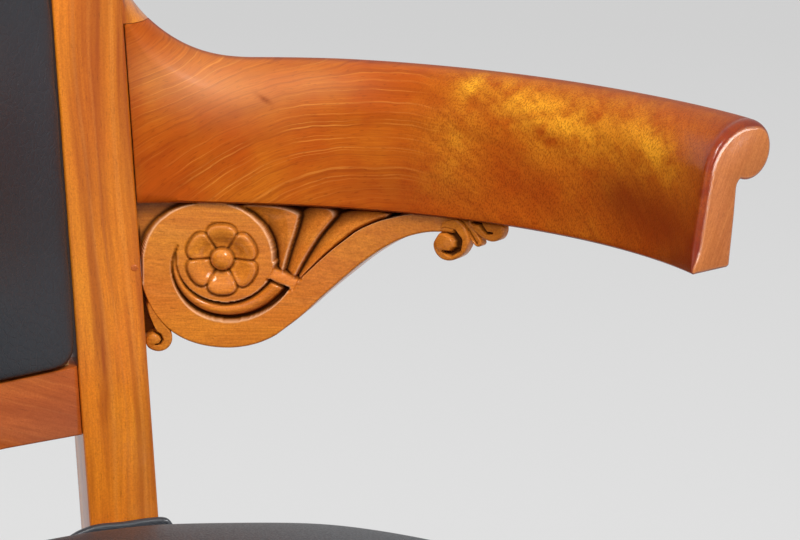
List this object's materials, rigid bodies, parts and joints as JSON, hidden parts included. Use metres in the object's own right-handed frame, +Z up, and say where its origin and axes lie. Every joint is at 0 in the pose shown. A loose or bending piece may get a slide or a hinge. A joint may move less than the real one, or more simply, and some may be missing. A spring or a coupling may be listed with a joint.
{
  "type": "desk armchair",
  "caption": "Wooden desk armchair with level bowed arms that roll outwards, carved scroll brackets with rosettes, sabre legs, and a black leather seat and back.",
  "frame": {"origin": "on the floor, midway between the front toes and the rear heels, on the centre line", "axes": "+Z up, -Y to the front, the way the sitter faces, and +X to the sitter's left"},
  "size_m": [0.7028, 0.5985, 0.8653],
  "materials": {
    "polished_fruitwood": "French polish, glossy",
    "softwood": "raw",
    "steel": "plain",
    "black_leather": "fine grain, waxed",
    "jute_webbing": "woven",
    "canvas": "woven",
    "curled_hair": "loose fibre"
  },
  "bodies": {
    "root": {"arm_bracket_left": "polished_fruitwood", "arm_bracket_right": "polished_fruitwood", "arm_left": "polished_fruitwood", "arm_right": "polished_fruitwood", "bracket_peg_left": "polished_fruitwood", "bracket_peg_right": "polished_fruitwood", "crest_rail": "polished_fruitwood", "front_leg_left": "polished_fruitwood", "front_leg_right": "polished_fruitwood", "rear_stile_left": "polished_fruitwood", "rear_stile_right": "polished_fruitwood", "seat_rail_front": "polished_fruitwood", "seat_rail_left": "polished_fruitwood", "seat_rail_rear": "polished_fruitwood", "seat_rail_right": "polished_fruitwood", "stay_rail": "polished_fruitwood", "arm_dowel_lower_left": "softwood", "arm_dowel_lower_right": "softwood", "arm_dowel_upper_left": "softwood", "arm_dowel_upper_right": "softwood", "back_frame_bottom": "softwood", "back_frame_left": "softwood", "back_frame_right": "softwood", "back_frame_top": "softwood", "bracket_dowel_front_left": "softwood", "bracket_dowel_front_right": "softwood", "bracket_dowel_rear_left": "softwood", "bracket_dowel_rear_right": "softwood", "corner_block_front_left": "softwood", "corner_block_front_right": "softwood", "corner_block_rear_left": "softwood", "corner_block_rear_right": "softwood", "corner_screw_front_rail_left": "steel", "corner_screw_front_rail_right": "steel", "corner_screw_front_side_left": "steel", "corner_screw_front_side_right": "steel", "corner_screw_rear_rail_left": "steel", "corner_screw_rear_rail_right": "steel", "corner_screw_rear_side_left": "steel", "corner_screw_rear_side_right": "steel", "back_leather": "black_leather", "back_outside_leather": "black_leather", "seat_collar_left": "black_leather", "seat_collar_right": "black_leather", "seat_leather": "black_leather", "back_webbing": "jute_webbing", "seat_webbing": "jute_webbing", "seat_canvas": "canvas", "back_stuffing": "curled_hair", "seat_stuffing": "curled_hair"}
  },
  "joints": []
}
